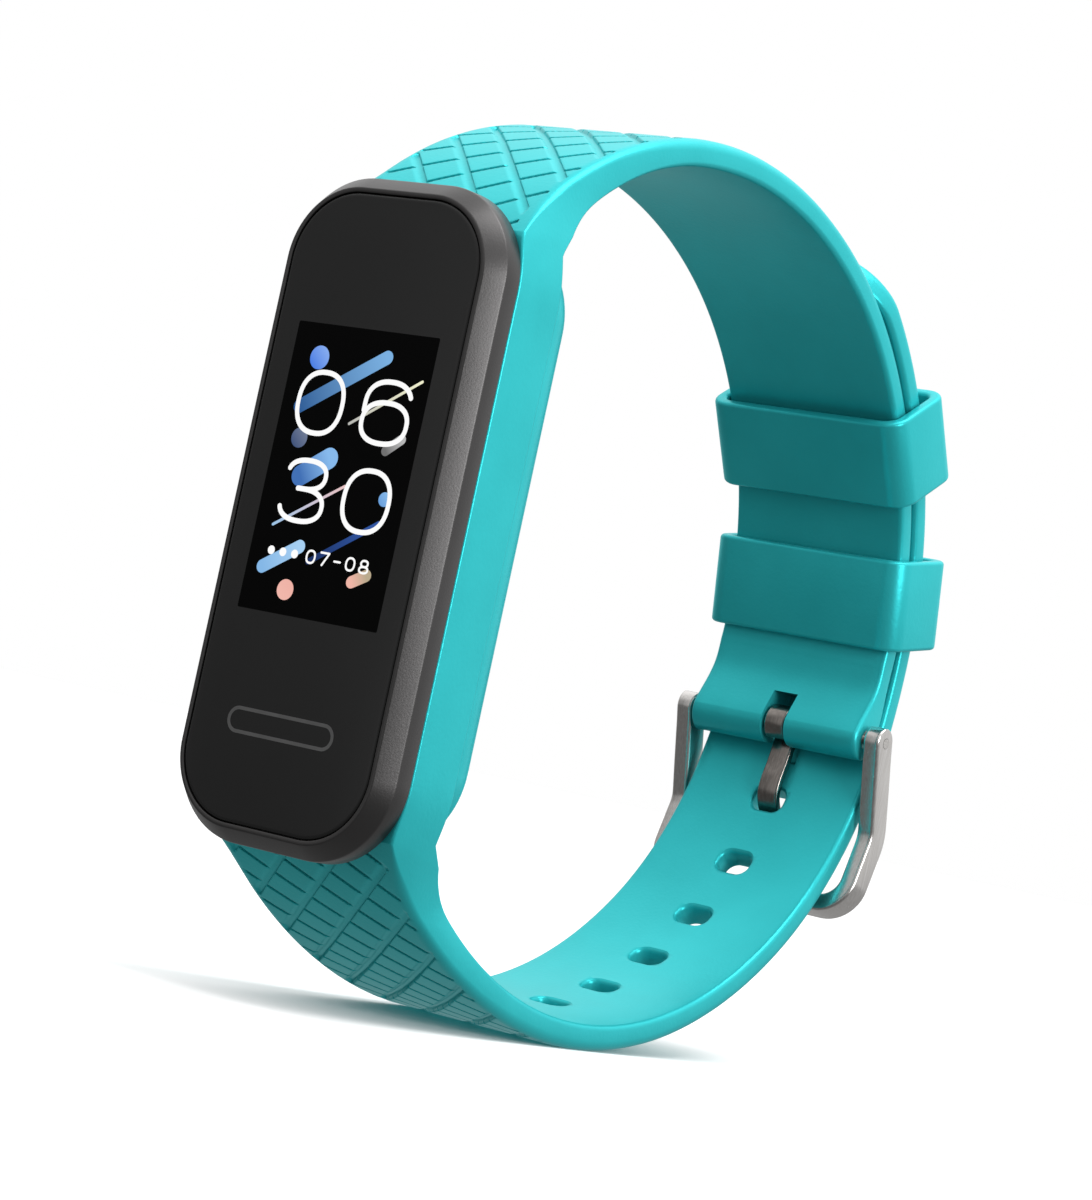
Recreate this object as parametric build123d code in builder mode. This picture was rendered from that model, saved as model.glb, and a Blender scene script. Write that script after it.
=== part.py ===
"""Fitness tracker band: a display pod pressed into a moulded strap, worn as a closed loop.

Millimetres. The origin is the middle of the wrist loop. +X is the wrist's axis, -Y is the way the
display faces and +Z runs up the display. Depths are measured from the outer face of the glass.
"""
from build123d import *
from math import atan2, cos, degrees, radians, sin
import os

os.makedirs("parts", exist_ok=True)

# Overall layout
front = -36.3                   # Y of the glass's outer face
pod_width = 19.05
pod_length = 46.65
pod_corner = 6.3

# Bezel: flat lip, chamfer, then a straight side
lip_width = 0.35
chamfer_in = 0.97
chamfer_deep = 1.35
bezel_deep = 2.9
skirt_deep = 4.0

# Cover glass and display
glass_width = 16.4
glass_length = 44.0
glass_corner = 5.0
glass_thick = 0.9
fit_gap = 0.05                  # all round a part that drops into a recess
bond_thick = 0.1
display_width = 13.2
display_length = 22.0
display_z = 2.6
touch_key_z = -15.1

# Back cover: a tub behind the bezel with a block that shows through the cradle
tub_rim = 3.05
tub_floor = 8.9
tub_back = 9.7
tub_wall = 0.8
tub_width = 16.6
tub_length = 43.8
tub_step = 6.9                  # behind this depth the tub is narrower and shorter
tub_step_width = 14.6
tub_step_length = 39.0
block_back = 10.9
block_width = 10.8
block_length = 27.0
sensor_z = 3.0
contact_z = -6.5
contact_x = 3.0

# Vibration motor
motor_z = 14.4
motor_radius = 4.0
motor_front = 6.1

# Cradle, the part of the strap that holds the pod
cradle_front = 2.95
cradle_side_back = 7.2
cradle_back = 10.6
cradle_rear_width = 17.6
cradle_rear_length = 43.0
cradle_gap = 0.12

# Strap: the inner face is a chain of tangent arcs, each (radius, degrees turned)
strap_width = 16.0
strap_thick = 2.0
lap_gap = 0.15                  # between the buckle side and the tail lying on it
upper_start = (-27.11, 22.13)   # Y, Z where the buckle side leaves the cradle
upper_heading = 62.1
upper_arcs = [(9.5, 21.0), (26.0, 30.0), (35.0, 40.0), (30.0, 62.0), (11.5, 23.0)]
tail_arcs = [(32.15, 62.0), (44.0, 7.6), (28.8, 40.2), (34.6, 75.9), (9.0, 28.0)]
root_front = (-33.2, 21.0)      # Y, Z where the outer face meets the cradle
cradle_heel = (-27.3, 20.0)     # inside the cradle, where the root ends

# Spring bar, buckle and holes
bar_centre = (25.9, -6.25)      # Y, Z
bar_radius = 0.75
bar_half = 7.9
eye_radius = 1.75
slot_width = 2.6
slot_centre = (26.06, -6.25)
slot_deep = 4.12
slot_long = 5.1
hole_pitch = 6.4
hole_width = 2.9
hole_length = 2.4
hole_corner = 0.85
holes_towards_pod = 5
holes_towards_tip = 4
frame_half = 9.85
frame_thick = 1.5
frame_band = 2.3
frame_bend = (28.0, -13.9)      # Y, Z
frame_foot = (25.95, -20.45)
tongue_width = 1.9
tongue_thick = 0.7
tongue_points = [(24.6, -6.9), (24.9, -11.4), (28.9, -13.9), (28.6, -17.5), (27.3, -21.2)]
tip_radius = 0.40
tip_flange = 0.48

# Keepers: (name, degrees round the lap's arc, how far the loop leans)
keeper_length = 7.3
keeper_wall = 1.0
keeper_inside = 6.0
keeper_side_gap = 0.15
keepers = [("keeper_upper", 30.5, 2.0), ("keeper_lower", 7.6, 3.0)]


def depth_plane(depth):
    """Plane at a depth behind the glass, facing out of the display: local x is X, local y is Z."""
    return Plane(origin=(0, front + depth, 0), x_dir=(1, 0, 0), z_dir=(0, -1, 0))


def plate(near, far, width, length, corner, x=0.0, z=0.0, mode=Mode.ADD):
    """A rounded plate between two depths, added to or cut from the part being built."""
    with BuildSketch(depth_plane(far)) as outline:
        with Locations((x, z)):
            RectangleRounded(width, length, corner)
    extrude(outline.sketch, amount=far - near, mode=mode)


def disc(near, far, radius, x=0.0, z=0.0, mode=Mode.ADD):
    """A round plate between two depths."""
    with BuildSketch(depth_plane(far)) as outline:
        with Locations((x, z)):
            Circle(radius)
    extrude(outline.sketch, amount=far - near, mode=mode)


def write(part, name):
    """Label a finished piece and write its STEP file."""
    part.label = name
    export_step(part, "parts/" + name + ".step")


def point_at(start, heading, ahead, left):
    """A point so far ahead and to the left of a place on a heading, in the side view."""
    turn = radians(heading)
    y = start[0] + ahead * cos(turn) - left * sin(turn)
    z = start[1] + ahead * sin(turn) + left * cos(turn)
    return (y, z)


def chain_places(start, heading, arcs):
    """Where each arc of a clockwise chain begins and ends: a list of (point, heading)."""
    places = [(start, heading)]
    for radius, turned in arcs:
        point, way = places[-1]
        centre = point_at(point, way, 0, -radius)
        way = way - turned
        places.append((point_at(centre, way, 0, radius), way))
    return places


def along_chain(start, heading, arcs, distance):
    """The point and heading a given distance along a chain."""
    places = chain_places(start, heading, arcs)
    for (radius, turned), (point, way) in zip(arcs, places):
        length = radius * radians(turned)
        if distance <= length:
            turned_here = distance / length * turned
            centre = point_at(point, way, 0, -radius)
            way = way - turned_here
            return point_at(centre, way, 0, radius), way
        distance = distance - length
    return places[-1]


def chain_edge(start, heading, arcs, offset):
    """Draw a chain's arcs, moved outwards by an offset, and return its first and last points."""
    places = chain_places(start, heading, arcs)
    moved = [point_at(point, way, 0, offset) for point, way in places]
    for (radius, turned), (point, way), begin, end in zip(arcs, places, moved, moved[1:]):
        centre = point_at(point, way, 0, -radius)
        middle = point_at(centre, way - turned / 2, 0, radius + offset)
        ThreePointArc(begin, middle, end)
    return moved[0], moved[-1]


def heading_back(heading):
    """The direction opposite to a heading, in the side view."""
    return (-cos(radians(heading)), -sin(radians(heading)))


def mirrored(point):
    """A side-view point reflected from the upper half to the lower half."""
    return (point[0], -point[1])


def bent_bar(points, width, half_width):
    """A flat bar bent along points in the side view, with rounded bends and ends."""
    with BuildSketch(Plane.YZ) as side:
        for (y0, z0), (y1, z1) in zip(points, points[1:]):
            length = ((y1 - y0) ** 2 + (z1 - z0) ** 2) ** 0.5
            with Locations(((y0 + y1) / 2, (z0 + z1) / 2)):
                SlotCenterToCenter(length, width, rotation=degrees(atan2(z1 - z0, y1 - y0)))
    extrude(side.sketch, amount=half_width, both=True)


# ---------------------------------------------------------------- display and touch key

with BuildPart() as cover_glass:
    plate(0, glass_thick, glass_width, glass_length, glass_corner)
    chamfer(cover_glass.faces().sort_by(Axis.Y)[0].edges(), 0.15)
write(cover_glass.part, "cover_glass")

with BuildPart() as glass_adhesive:
    plate(glass_thick, glass_thick + bond_thick, glass_width - 0.2, glass_length - 0.2, glass_corner - 0.1)
    plate(glass_thick, glass_thick + bond_thick, glass_width - 2.0, glass_length - 2.0, glass_corner - 1.0,
          mode=Mode.SUBTRACT)
write(glass_adhesive.part, "glass_adhesive")

display_front = glass_thick + bond_thick
with BuildPart() as display_adhesive:
    plate(glass_thick, display_front, display_width, display_length, 0.3, z=display_z)
write(display_adhesive.part, "display_adhesive")

with BuildPart() as display_panel:
    plate(display_front, display_front + 0.9, display_width, display_length, 0.3, z=display_z)
write(display_panel.part, "display_panel")

backlight_back = display_front + 1.4
with BuildPart() as display_backlight:
    plate(display_front + 0.9, backlight_back, display_width, display_length, 0.3, z=display_z)
write(display_backlight.part, "display_backlight")

flex_z = display_z - display_length / 2 - 1.1
board_front = 3.2
with BuildPart() as display_flex:
    plate(backlight_back, backlight_back + 0.12, 6.0, 3.4, 0.2, z=flex_z + 1.64)
    plate(backlight_back, board_front, 6.0, 0.12, 0.05, z=flex_z)
write(display_flex.part, "display_flex")

with BuildPart() as touch_key_film:
    plate(glass_thick, display_front, 10.6, 4.0, 0.6, z=touch_key_z)
write(touch_key_film.part, "touch_key_film")

# ---------------------------------------------------------------- bezel and back cover

skirt_width = tub_width - 2 * tub_wall - 2 * fit_gap
skirt_length = tub_length - 2 * tub_wall - 2 * fit_gap
window_width = skirt_width - 1.0
window_length = skirt_length - 1.0
with BuildPart() as bezel:
    plate(0, bezel_deep, pod_width, pod_length, pod_corner)
    chamfer(bezel.faces().sort_by(Axis.Y)[0].edges(), chamfer_deep, chamfer_in,
            reference=bezel.faces().sort_by(Axis.Y)[0])
    plate(bezel_deep, skirt_deep, skirt_width, skirt_length, 4.15)
    plate(0, skirt_deep, window_width, window_length, 3.7, mode=Mode.SUBTRACT)
    plate(0, display_front, glass_width + 2 * fit_gap, glass_length + 2 * fit_gap,
          glass_corner + fit_gap, mode=Mode.SUBTRACT)
write(bezel.part, "bezel")

with BuildPart() as case_gasket:
    plate(bezel_deep, tub_rim, tub_width - 0.1, tub_length - 0.1, 4.95)
    plate(bezel_deep, tub_rim, tub_width - 2 * tub_wall + 0.1, tub_length - 2 * tub_wall + 0.1, 4.25,
          mode=Mode.SUBTRACT)
write(case_gasket.part, "case_gasket")

window_radius = 4.6
window_thick = 0.8
contact_radius = 0.9
with BuildPart() as back_cover:
    plate(tub_rim, tub_back, tub_step_width, tub_step_length, 4.0)
    fillet(back_cover.faces().sort_by(Axis.Y)[-1].edges(), 0.6)
    plate(tub_rim, tub_step, tub_width, tub_length, 5.0)
    plate(tub_back - 0.6, block_back, block_width, block_length, 3.0)
    plate(tub_rim, tub_step - tub_wall, tub_width - 2 * tub_wall, tub_length - 2 * tub_wall, 4.2,
          mode=Mode.SUBTRACT)
    plate(tub_rim, tub_floor, tub_step_width - 2 * tub_wall, tub_step_length - 2 * tub_wall, 3.2,
          mode=Mode.SUBTRACT)
    disc(tub_floor, block_back, window_radius - 0.7, z=sensor_z, mode=Mode.SUBTRACT)
    disc(block_back - window_thick, block_back, window_radius + fit_gap, z=sensor_z, mode=Mode.SUBTRACT)
    for side in (-1, 1):
        disc(tub_floor, block_back, contact_radius + fit_gap, x=side * contact_x, z=contact_z,
             mode=Mode.SUBTRACT)
write(back_cover.part, "back_cover")

with BuildPart() as sensor_window:
    disc(block_back - window_thick, block_back, window_radius, z=sensor_z)
write(sensor_window.part, "sensor_window")

# ---------------------------------------------------------------- electronics

with BuildPart() as chassis:
    plate(2.6, board_front, window_width - 0.1, window_length - 0.1, 3.6)
    plate(2.6, board_front, 6.6, 0.8, 0.2, z=flex_z, mode=Mode.SUBTRACT)
    plate(2.6, board_front, 5.0, 9.0, 0.8, z=14.5, mode=Mode.SUBTRACT)
write(chassis.part, "chassis")

board_back = board_front + 0.6
with BuildPart() as main_board:
    plate(board_front, board_back, 13.4, 38.0, 3.0)
    plate(board_front, board_back, 2.0, 3.0, 0.4, x=-6.5, z=12.0, mode=Mode.SUBTRACT)
write(main_board.part, "main_board")

chips = [
    ("processor_chip", 5.0, 5.0, 0.9, -2.6, 5.5),
    ("memory_chip", 4.0, 3.0, 0.8, 3.6, 7.0),
    ("motion_sensor", 2.0, 2.0, 0.8, 3.6, 2.6),
    ("charge_controller", 2.4, 2.4, 0.7, -3.8, -0.6),
]
for name, width, length, height, x, z in chips:
    with BuildPart() as chip:
        plate(board_back, board_back + height, width, length, 0.15, x=x, z=z)
    write(chip.part, name)

battery_front = 4.9
battery_back = 8.7
battery_z = -11.6
battery_length = 12.4
battery_width = 12.0
with BuildPart() as battery:
    plate(battery_front, battery_back, battery_width, battery_length, 1.4, z=battery_z)
    plate(6.4, 6.8, 9.0, 1.2, 0.3, z=battery_z + battery_length / 2 + 0.5)
write(battery.part, "battery")

with BuildPart() as battery_pad:
    plate(battery_back, tub_floor, 9.0, 9.0, 0.5, z=battery_z)
write(battery_pad.part, "battery_pad")

lead_z = battery_z + battery_length / 2 + 0.6
with BuildPart() as battery_leads:
    for side in (-1, 1):
        disc(board_back, 6.4, 0.25, x=side * 1.2, z=lead_z)
write(battery_leads.part, "battery_leads")

with BuildPart() as sensor_board:
    plate(8.0, 8.5, 9.4, 8.4, 0.6, z=sensor_z)
write(sensor_board.part, "sensor_board")

with BuildPart() as sensor_leds:
    for side in (-1, 1):
        plate(8.5, 9.0, 0.9, 1.6, 0.1, x=side * 2.6, z=sensor_z)
write(sensor_leds.part, "sensor_leds")

with BuildPart() as photodiode:
    plate(8.5, 9.0, 2.4, 2.4, 0.15, z=sensor_z)
write(photodiode.part, "photodiode")

with BuildPart() as light_barrier:
    plate(8.5, 10.05, 3.3, 3.3, 0.5, z=sensor_z)
    plate(8.5, 10.05, 2.7, 2.7, 0.3, z=sensor_z, mode=Mode.SUBTRACT)
write(light_barrier.part, "light_barrier")

for side, name in ((-1, "charge_contact_left"), (1, "charge_contact_right")):
    with BuildPart() as contact:
        disc(tub_floor + 0.1, block_back - 0.1, contact_radius, x=side * contact_x, z=contact_z)
    write(contact.part, name)

# ---------------------------------------------------------------- vibration motor

motor_back = tub_floor
shaft_radius = 0.4
with BuildPart() as motor_case:
    disc(motor_front, motor_back, motor_radius, z=motor_z)
    disc(motor_front + 0.2, motor_back - 0.2, motor_radius - 0.2, z=motor_z, mode=Mode.SUBTRACT)
    disc(motor_front + 0.2, motor_front + 0.4, 0.9, z=motor_z)
    disc(motor_front + 0.1, motor_front + 0.4, shaft_radius, z=motor_z, mode=Mode.SUBTRACT)
write(motor_case.part, "motor_case")

with BuildPart() as motor_shaft:
    disc(motor_front + 0.1, motor_back - 0.2, shaft_radius, z=motor_z)
write(motor_shaft.part, "motor_shaft")

rotor_radius = 3.4
with BuildPart() as motor_rotor:
    disc(motor_front + 0.6, motor_back - 0.5, rotor_radius, z=motor_z)
    plate(motor_front + 0.6, motor_back - 0.5, 2 * motor_radius, rotor_radius, 0.1,
          z=motor_z + 0.9 + rotor_radius / 2, mode=Mode.SUBTRACT)
    disc(motor_front, motor_back, shaft_radius + 0.04, z=motor_z, mode=Mode.SUBTRACT)
write(motor_rotor.part, "motor_rotor")

# ---------------------------------------------------------------- strap, moulded with its cradle

upper_places = chain_places(upper_start, upper_heading, upper_arcs)
lap_start, lap_heading = upper_places[3]
tail_start = point_at(lap_start, lap_heading, 0, strap_thick + lap_gap)
tail_end = chain_places(tail_start, lap_heading, tail_arcs)[-1][0]
# along the tail from its tip: the hole that the tongue goes through
threaded = tail_arcs[0][0] * radians(tail_arcs[0][1]) + 13.05
# the arcs whose outer faces run on to each root, from the buckle's end and from the tail's tip
upper_free = upper_arcs[2:]
tail_free = tail_arcs[:3] + [(tail_arcs[3][0], 52.4)]

with BuildPart() as strap:
    with BuildSketch(Plane.YZ) as upper_side:
        with BuildLine():
            chain_edge(upper_start, upper_heading, upper_arcs, 0.0)
            touch, outer_end = chain_edge(upper_places[2][0], upper_places[2][1], upper_free, strap_thick)
            Line(upper_places[-1][0], outer_end)
            TangentArc(touch, root_front, tangent=heading_back(upper_places[2][1]))
            Polyline(root_front, cradle_heel, upper_start)
        make_face()
        # eye round the spring bar
        with Locations(bar_centre):
            Circle(eye_radius)
            Circle(bar_radius + 0.03, mode=Mode.SUBTRACT)
    extrude(upper_side.sketch, amount=strap_width / 2, both=True)
    with BuildSketch(Plane.YZ) as tail_side:
        with BuildLine():
            chain_edge(tail_start, lap_heading, tail_arcs, 0.0)
            outer_tip, touch = chain_edge(tail_start, lap_heading, tail_free, strap_thick)
            Line(tail_start, outer_tip)
            tail_touch_heading = chain_places(tail_start, lap_heading, tail_free)[-1][1]
            TangentArc(touch, mirrored(root_front), tangent=heading_back(tail_touch_heading + 180))
            Polyline(mirrored(root_front), mirrored(cradle_heel), tail_end)
        make_face()
    extrude(tail_side.sketch, amount=strap_width / 2, both=True)
    # cradle
    plate(cradle_front, cradle_side_back, pod_width, pod_length, pod_corner)
    plate(cradle_side_back, cradle_back, cradle_rear_width, cradle_rear_length, 5.6)
    # room for the pod and for the block on its back
    plate(0, tub_step + cradle_gap, tub_width + 2 * cradle_gap, tub_length + 2 * cradle_gap,
          5.0 + cradle_gap, mode=Mode.SUBTRACT)
    plate(0, tub_back + cradle_gap, tub_step_width + 2 * cradle_gap, tub_step_length + 2 * cradle_gap,
          4.0 + cradle_gap, mode=Mode.SUBTRACT)
    plate(0, cradle_back + 1, block_width + 0.3, block_length + 0.3, 3.15, mode=Mode.SUBTRACT)
    # slot the tongue turns in
    with BuildSketch(Plane.YZ) as slot:
        with Locations(slot_centre):
            Rectangle(slot_deep, slot_long)
    extrude(slot.sketch, amount=slot_width / 2, both=True, mode=Mode.SUBTRACT)
    # tail holes
    for step in range(-holes_towards_tip, holes_towards_pod + 1):
        place, way = along_chain(tail_start, lap_heading, tail_arcs, threaded + step * hole_pitch)
        inside = point_at(place, way, 0, -0.1)
        hole_plane = Plane(origin=(0, inside[0], inside[1]), x_dir=(1, 0, 0),
                           z_dir=(0, -sin(radians(way)), cos(radians(way))))
        with BuildSketch(hole_plane) as hole:
            RectangleRounded(hole_width, hole_length, hole_corner)
        extrude(hole.sketch, amount=strap_thick + 0.3, mode=Mode.SUBTRACT)
write(strap.part, "strap")

# ---------------------------------------------------------------- spring bar

with BuildPart() as spring_bar_tube:
    with BuildSketch(Plane.YZ):
        with Locations(bar_centre):
            Circle(bar_radius)
    extrude(amount=bar_half, both=True)
    with BuildSketch(Plane.YZ):
        with Locations(bar_centre):
            Circle(tip_radius + 0.03)
    extrude(amount=bar_half, both=True, mode=Mode.SUBTRACT)
    with BuildSketch(Plane.YZ):
        with Locations(bar_centre):
            Circle(tip_flange + 0.04)
    extrude(amount=bar_half - 0.4, both=True, mode=Mode.SUBTRACT)
write(spring_bar_tube.part, "spring_bar_tube")

flange_inner = 6.8
for side, name in ((-1, "spring_bar_tip_left"), (1, "spring_bar_tip_right")):
    flange_plane = Plane(origin=(side * flange_inner, bar_centre[0], bar_centre[1]),
                         x_dir=(0, 1, 0), z_dir=(side, 0, 0))
    with BuildPart() as tip:
        with BuildSketch(flange_plane):
            Circle(tip_flange)
        extrude(amount=0.6)
        with BuildSketch(flange_plane):
            Circle(tip_radius)
        extrude(amount=frame_half - flange_inner)
    write(tip.part, name)

spring_coil = 0.34
spring_wire = 0.09
with BuildPart() as spring_bar_spring:
    with BuildLine() as coil:
        Helix(pitch=0.97, height=2 * flange_inner - 0.24, radius=spring_coil,
              center=(-flange_inner + 0.12, bar_centre[0], bar_centre[1]), direction=(1, 0, 0))
    with BuildSketch(Plane(origin=coil.line @ 0, z_dir=coil.line % 0)):
        Circle(spring_wire)
    sweep(path=coil.line)
write(spring_bar_spring.part, "spring_bar_spring")

# ---------------------------------------------------------------- buckle

with BuildPart() as buckle_frame:
    bent_bar([bar_centre, frame_bend, frame_foot], frame_band, frame_half)
    with BuildSketch(Plane.YZ) as arm_end:
        with Locations(bar_centre):
            Circle(frame_band / 2 + 0.1)
    extrude(arm_end.sketch, amount=frame_half, both=True)
    # the window between the arms, down to the crossbar
    foot_way = (frame_foot[0] - frame_bend[0], frame_foot[1] - frame_bend[1])
    foot_length = (foot_way[0] ** 2 + foot_way[1] ** 2) ** 0.5
    foot_plane = Plane(origin=(0, frame_foot[0], frame_foot[1]), x_dir=(1, 0, 0),
                       z_dir=(0, -foot_way[1] / foot_length, foot_way[0] / foot_length))
    with BuildSketch(foot_plane) as window:
        with Locations((0, -frame_thick - 10)):
            RectangleRounded(2 * (frame_half - frame_thick), 20.0, 1.2)
    extrude(window.sketch, amount=20, both=True, mode=Mode.SUBTRACT)
    with BuildSketch(foot_plane) as rest:
        with Locations((0, 0)):
            Rectangle(tongue_width + 0.8, 4 * frame_thick)
    extrude(rest.sketch, amount=3, mode=Mode.SUBTRACT)
    with BuildSketch(Plane.YZ) as tip_holes:
        with Locations(bar_centre):
            Circle(tip_radius + 0.04)
    extrude(tip_holes.sketch, amount=frame_half + 1, both=True, mode=Mode.SUBTRACT)
write(buckle_frame.part, "buckle_frame")

with BuildPart() as buckle_tongue:
    with BuildSketch(Plane.YZ) as loop:
        with Locations(bar_centre):
            Circle(bar_radius + 0.05 + tongue_thick)
    extrude(loop.sketch, amount=tongue_width / 2, both=True)
    bent_bar(tongue_points, tongue_thick, tongue_width / 2)
    with BuildSketch(Plane.YZ) as loop_bore:
        with Locations(bar_centre):
            Circle(bar_radius + 0.05)
    extrude(loop_bore.sketch, amount=tongue_width, both=True, mode=Mode.SUBTRACT)
write(buckle_tongue.part, "buckle_tongue")

# ---------------------------------------------------------------- keepers

lap_centre = point_at(lap_start, lap_heading, 0, -30.0)
inner_face_radius = 30.0 - 0.72
for name, angle, lean in keepers:
    heading = angle - 90 + lean
    foot = point_at(lap_centre, angle, inner_face_radius, 0)
    loop_plane = Plane(origin=(0, foot[0], foot[1]), x_dir=(1, 0, 0),
                       z_dir=(0, -cos(radians(heading)), -sin(radians(heading))))
    with BuildPart() as keeper:
        with BuildSketch(loop_plane) as ring:
            with Locations((0, keeper_inside / 2)):
                RectangleRounded(strap_width + 2 * keeper_side_gap + 2 * keeper_wall,
                                 keeper_inside + 2 * keeper_wall, 1.8)
                RectangleRounded(strap_width + 2 * keeper_side_gap, keeper_inside, 0.9, mode=Mode.SUBTRACT)
        extrude(ring.sketch, amount=keeper_length / 2, both=True)
    write(keeper.part, name)
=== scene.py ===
from math import ceil, cos, pi, radians, sin, sqrt

import bmesh
import bpy
import numpy as np
from mathutils import Matrix, Vector


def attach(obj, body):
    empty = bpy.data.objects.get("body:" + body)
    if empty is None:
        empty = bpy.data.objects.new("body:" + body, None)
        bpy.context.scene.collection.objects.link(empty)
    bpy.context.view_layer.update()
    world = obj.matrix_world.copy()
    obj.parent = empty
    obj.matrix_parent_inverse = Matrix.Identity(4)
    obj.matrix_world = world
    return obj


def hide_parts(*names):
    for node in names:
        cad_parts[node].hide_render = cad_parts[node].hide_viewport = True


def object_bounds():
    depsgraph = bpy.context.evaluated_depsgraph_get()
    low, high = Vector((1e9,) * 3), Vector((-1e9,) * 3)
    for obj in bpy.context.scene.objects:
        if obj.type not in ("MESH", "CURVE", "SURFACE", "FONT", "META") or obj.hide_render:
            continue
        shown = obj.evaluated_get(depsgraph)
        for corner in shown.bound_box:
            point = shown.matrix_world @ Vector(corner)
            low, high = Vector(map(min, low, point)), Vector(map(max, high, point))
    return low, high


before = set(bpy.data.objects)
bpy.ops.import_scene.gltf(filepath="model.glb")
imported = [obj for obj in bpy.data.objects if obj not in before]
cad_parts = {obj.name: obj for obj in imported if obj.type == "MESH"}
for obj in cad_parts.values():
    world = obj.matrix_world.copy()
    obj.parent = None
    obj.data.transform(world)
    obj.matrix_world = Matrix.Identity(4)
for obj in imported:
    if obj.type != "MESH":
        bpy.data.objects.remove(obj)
cad_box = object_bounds()

# ---------------------------------------------------------------- strap and cradle
# The strap and the cradle round the pod are one liquid silicone moulding, pressed in a steel tool
# whose cheeks give the outer faces their lattice of grooves. The rear bulge wraps the pod's tub,
# and the buckle end is moulded round a bore for the spring bar. All sizes below are millimetres.
MM = 0.001
strap_thick = 2.0
strap_half = 8.0
cradle_half = 9.525
glass_y = -36.3
bar_centre = np.array([25.9, -6.25])                    # Y, Z in the side view, as are those below
upper_start, upper_heading = (-27.11, 22.13), 62.1      # inside the cradle's top, heading in degrees
tail_tip, tail_heading = (11.819, 28.943), -28.9
root_front = np.array([-33.2, 21.0])                    # where the outer face meets the cradle's cheek


def unit(degrees_round):
    """The unit vector at an angle in the side view."""
    return np.array([cos(radians(degrees_round)), sin(radians(degrees_round))])


def band_arcs(start, heading, arcs):
    """Matching inner and outer points along clockwise tangent arcs, each (radius, degrees, spacing)."""
    point, inner, outer = np.array(start), [], []
    for radius, turned, spacing in arcs:
        centre = point - radius * unit(heading + 90)
        count = ceil((radius + strap_thick) * radians(turned) / spacing)
        for step in range(count):
            out = unit(heading + 90 - turned * step / count)
            inner.append(centre + radius * out)
            outer.append(centre + (radius + strap_thick) * out)
        heading = heading - turned
        point = centre + radius * unit(heading + 90)
    inner.append(point)
    outer.append(point + strap_thick * unit(heading + 90))
    return np.array(inner), np.array(outer), heading


def resampled(points, count):
    """The same line with evenly spaced points."""
    points = np.asarray(points, float)
    run = np.append(0, np.cumsum(np.linalg.norm(np.diff(points, axis=0), axis=1)))
    places = np.linspace(0, run[-1], count)
    return np.column_stack([np.interp(places, run, points[:, axis]) for axis in range(points.shape[1])])


def root_arc(touch, out, end, spacing):
    """The arc that leaves a touch point square to its outward direction and ends at a given point."""
    radius = (touch - end) @ (touch - end) / (2 * out @ (touch - end))
    centre = touch - radius * out
    first = np.arctan2(*(touch - centre)[::-1])
    last = np.arctan2(*(end - centre)[::-1])
    turn = (last - first + pi) % (2 * pi) - pi
    angles = first + turn * np.linspace(0, 1, ceil(radius * abs(turn) / spacing) + 1)
    return centre + radius * np.column_stack([np.cos(angles), np.sin(angles)])


def smooth(share):
    """0 to 1 with a soft start and end."""
    share = np.clip(share, 0, 1)
    return share * share * (3 - 2 * share)


fine, coarse = 0.11, 0.45               # spacing of the sections inside and outside the lattice
root_spacing, neck_spacing = 0.2, 0.3   # spacing beside the cradle and before the buckle's eye
lattice_turn = 22.4                     # degrees of the plain strap that the lattice runs on over
lap_radius, lap_turn = 32.15, 62.0      # the tail's first arc, where it lies over the buckle side

# from the buckle's eye over the top to the pod
inner_root, _, root_way = band_arcs(
    upper_start, upper_heading, [(9.5, 21.0, root_spacing), (26.0, 30.0, root_spacing)])
free_inner, free_outer, end_way = band_arcs(
    inner_root[-1], root_way,
    [(35.0, lattice_turn, fine), (35.0, 40.0 - lattice_turn, coarse), (30.0, 60.0, coarse),
     (11.5, 8.0, neck_spacing)])
eye_half = 1.75
neck_step, neck_bow = 0.25, 0.35
swell_from = 0.2        # share of the neck's length before it thickens towards the eye
neck = (free_inner[-1] + free_outer[-1]) / 2
neck_length = np.linalg.norm(bar_centre - neck)
along = np.append(np.arange(neck_step, neck_length, neck_step), neck_length)
line = neck + (along / neck_length)[:, None] * (bar_centre - neck)
line = line + neck_bow * (np.sin(pi * along / neck_length))[:, None] * unit(end_way + 90)
swell = smooth((along / neck_length - swell_from) / (1 - swell_from))
half_thick = strap_thick / 2 + (eye_half - strap_thick / 2) * swell
cap_steps = 12
cap_angles = np.linspace(0, pi / 2, cap_steps)[1:-1]
eye_way = (bar_centre - neck) / neck_length
line = np.vstack([line, bar_centre + eye_half * np.sin(cap_angles)[:, None] * eye_way])
half_thick = np.append(half_thick, eye_half * np.cos(cap_angles))
across = np.array([-eye_way[1], eye_way[0]])
free_inner = np.vstack([free_inner, line - half_thick[:, None] * across])
free_outer = np.vstack([free_outer, line + half_thick[:, None] * across])
upper_outer_root = root_arc(free_outer[0], unit(root_way + 90), root_front, fine)
upper_inner_root = resampled(inner_root[::-1], len(upper_outer_root))

# from the tail's tip down the back and under to the pod
tail_inner, tail_outer, tail_way = band_arcs(
    tail_tip, tail_heading,
    [(lap_radius, lap_turn, coarse), (44.0, 7.6, coarse), (28.8, 40.2, coarse),
     (34.6, 52.4 - lattice_turn, coarse), (34.6, lattice_turn, fine)])
lower_front = root_front * (1, -1)
lower_outer_root = root_arc(tail_outer[-1], unit(tail_way + 90), lower_front, fine)
lower_root_chain, _, _ = band_arcs(
    tail_inner[-1], tail_way, [(34.6, 23.5, root_spacing), (9.0, 28.0, root_spacing)])
lower_inner_root = resampled(lower_root_chain, len(lower_outer_root))

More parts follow.
